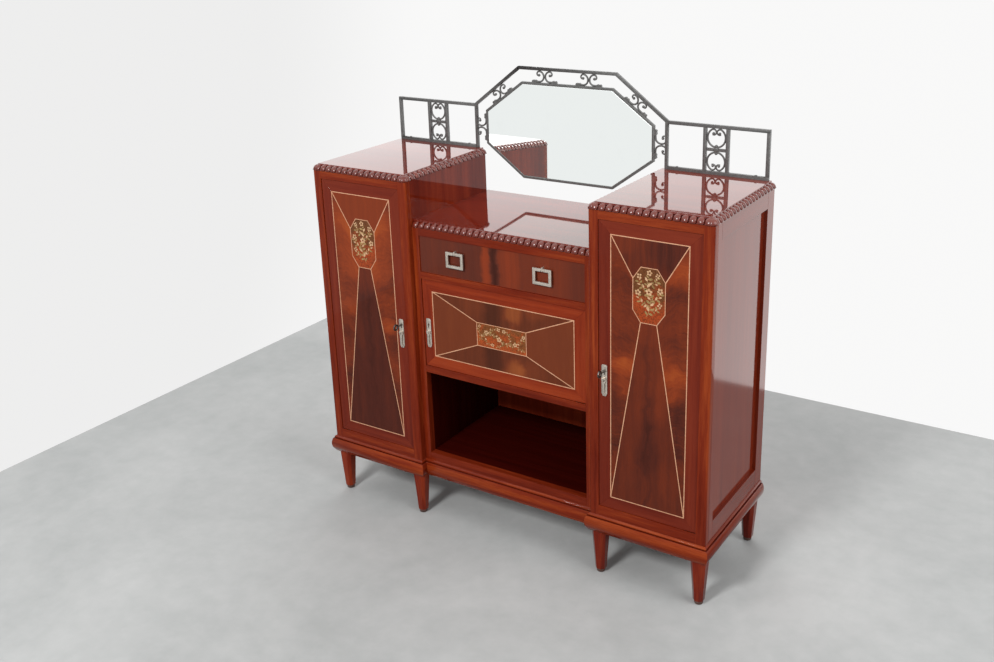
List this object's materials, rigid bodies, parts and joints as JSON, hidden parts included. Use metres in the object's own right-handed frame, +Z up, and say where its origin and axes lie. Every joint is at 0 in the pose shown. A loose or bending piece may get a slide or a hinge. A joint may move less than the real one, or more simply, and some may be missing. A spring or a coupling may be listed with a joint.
{
  "type": "chiffonier",
  "caption": "Break-front side cabinet with tall end cupboards, a lower centre with drawer, small cupboard and open niche, and an iron gallery with an octagonal mirror.",
  "frame": {"origin": "centre of the bounding box on the floor", "axes": "+X to the right seen from the front, +Y to the back, +Z up"},
  "size_m": [1.4272, 0.4855, 1.477],
  "materials": {
    "carcase_mahogany": "french polished mahogany",
    "door_border": "french polished mahogany",
    "veneer": "french polished flame veneer",
    "end_veneer": "french polished mahogany veneer",
    "marquetry": "polished marquetry",
    "polished_top": "high gloss polish",
    "interior_wood": "oiled",
    "back_wood": "stained, matt",
    "glide": "dark nailed glide",
    "wrought_iron": "hammered, waxed black",
    "nickel": "aged nickel plate",
    "lock_steel": "plain steel",
    "mirror": "silvered, bevelled"
  },
  "bodies": {
    "cabinet": {"right_face_frame": "carcase_mahogany", "left_face_frame": "carcase_mahogany", "right_end_frame": "carcase_mahogany", "left_end_frame": "carcase_mahogany", "end_panels": "end_veneer", "inner_sides": "end_veneer", "back_panels": "back_wood", "floor_boards": "interior_wood", "shelves": "interior_wood", "shelf_pegs": "lock_steel", "legs": "carcase_mahogany", "foot_glides": "glide", "right_plinth": "carcase_mahogany", "left_plinth": "carcase_mahogany", "centre_plinth": "carcase_mahogany", "right_top": "polished_top", "left_top": "polished_top", "centre_top": "polished_top", "centre_face_frame": "carcase_mahogany", "centre_sides": "end_veneer", "centre_boards": "interior_wood", "hinge_pivots": "lock_steel", "strike_plates": "lock_steel", "right_gallery_rail": "wrought_iron", "left_gallery_rail": "wrought_iron", "gallery_scrolls": "wrought_iron", "gallery_screws": "wrought_iron", "arch_frame": "wrought_iron", "mirror_frame": "wrought_iron", "mirror_scrolls": "wrought_iron", "mirror_glass": "mirror", "mirror_backboard": "back_wood"},
    "right_door": {"right_door_frame": "door_border", "right_door_panel": "veneer", "right_door_medallion": "marquetry", "right_lock_case": "lock_steel", "right_escutcheon": "nickel"},
    "right_drop": {"right_drop_handle": "nickel"},
    "right_bolt": {"right_lock_bolt": "lock_steel"},
    "right_key": {"right_key": "nickel"},
    "left_door": {"left_door_frame": "door_border", "left_door_panel": "veneer", "left_door_medallion": "marquetry", "left_lock_case": "lock_steel", "left_escutcheon": "nickel"},
    "left_drop": {"left_drop_handle": "nickel"},
    "left_bolt": {"left_lock_bolt": "lock_steel"},
    "left_key": {"left_key": "nickel"},
    "centre_door": {"centre_door_frame": "door_border", "centre_door_panel": "veneer", "centre_door_medallion": "marquetry", "centre_lock_case": "lock_steel", "centre_escutcheon": "nickel"},
    "centre_drop": {"centre_drop_handle": "nickel"},
    "centre_bolt": {"centre_lock_bolt": "lock_steel"},
    "drawer": {"drawer_front": "veneer", "drawer_box": "interior_wood", "pull_posts": "nickel"},
    "right_pull": {"right_ring_pull": "nickel"},
    "left_pull": {"left_ring_pull": "nickel"}
  },
  "joints": [
    {"name": "right_door_hinge", "type": "hinge", "parent": "cabinet", "child": "right_door", "pos_m": [0.664, -0.19825, 0.695], "axis": [0, 0, 1], "range_deg": [0, 90]},
    {"name": "left_door_hinge", "type": "hinge", "parent": "cabinet", "child": "left_door", "pos_m": [-0.664, -0.19825, 0.695], "axis": [0, 0, -1], "range_deg": [0, 90]},
    {"name": "centre_door_hinge", "type": "hinge", "parent": "cabinet", "child": "centre_door", "pos_m": [0.293, -0.17525, 0.707], "axis": [0, 0, 1], "range_deg": [0, 90]},
    {"name": "drawer_slide", "type": "slide", "parent": "cabinet", "child": "drawer", "axis": [0, -1, 0], "range_m": [0, 0.3]},
    {"name": "right_pull_swing", "type": "hinge", "parent": "drawer", "child": "right_pull", "pos_m": [0.158, -0.18825, 0.96], "axis": [-1, 0, 0], "range_deg": [0, 80]},
    {"name": "right_drop_swing", "type": "hinge", "parent": "right_door", "child": "right_drop", "pos_m": [0.3725, -0.20835, 0.668], "axis": [-1, 0, 0], "range_deg": [0, 80]},
    {"name": "right_key_turn", "type": "hinge", "parent": "right_door", "child": "right_key", "pos_m": [0.3725, -0.20525, 0.692], "axis": [0, 1, 0], "range_deg": [0, 180]},
    {"name": "right_bolt_slide", "type": "slide", "parent": "right_door", "child": "right_bolt", "axis": [-1, 0, 0], "range_m": [0, 0.008]},
    {"name": "left_pull_swing", "type": "hinge", "parent": "drawer", "child": "left_pull", "pos_m": [-0.158, -0.18825, 0.96], "axis": [-1, 0, 0], "range_deg": [0, 80]},
    {"name": "left_drop_swing", "type": "hinge", "parent": "left_door", "child": "left_drop", "pos_m": [-0.3725, -0.20835, 0.668], "axis": [-1, 0, 0], "range_deg": [0, 80]},
    {"name": "left_key_turn", "type": "hinge", "parent": "left_door", "child": "left_key", "pos_m": [-0.3725, -0.20525, 0.692], "axis": [0, -1, 0], "range_deg": [0, 180]},
    {"name": "left_bolt_slide", "type": "slide", "parent": "left_door", "child": "left_bolt", "axis": [1, 0, 0], "range_m": [0, 0.008]},
    {"name": "centre_drop_swing", "type": "hinge", "parent": "centre_door", "child": "centre_drop", "pos_m": [-0.2785, -0.18535, 0.68], "axis": [-1, 0, 0], "range_deg": [0, 80]},
    {"name": "centre_bolt_slide", "type": "slide", "parent": "centre_door", "child": "centre_bolt", "axis": [-1, 0, 0], "range_m": [0, 0.008]}
  ],
  "couplings": [
    {"joint": "right_bolt_slide", "follows": "right_key_turn", "m_per_rad": 0.002546},
    {"joint": "left_bolt_slide", "follows": "left_key_turn", "m_per_rad": 0.002546}
  ]
}
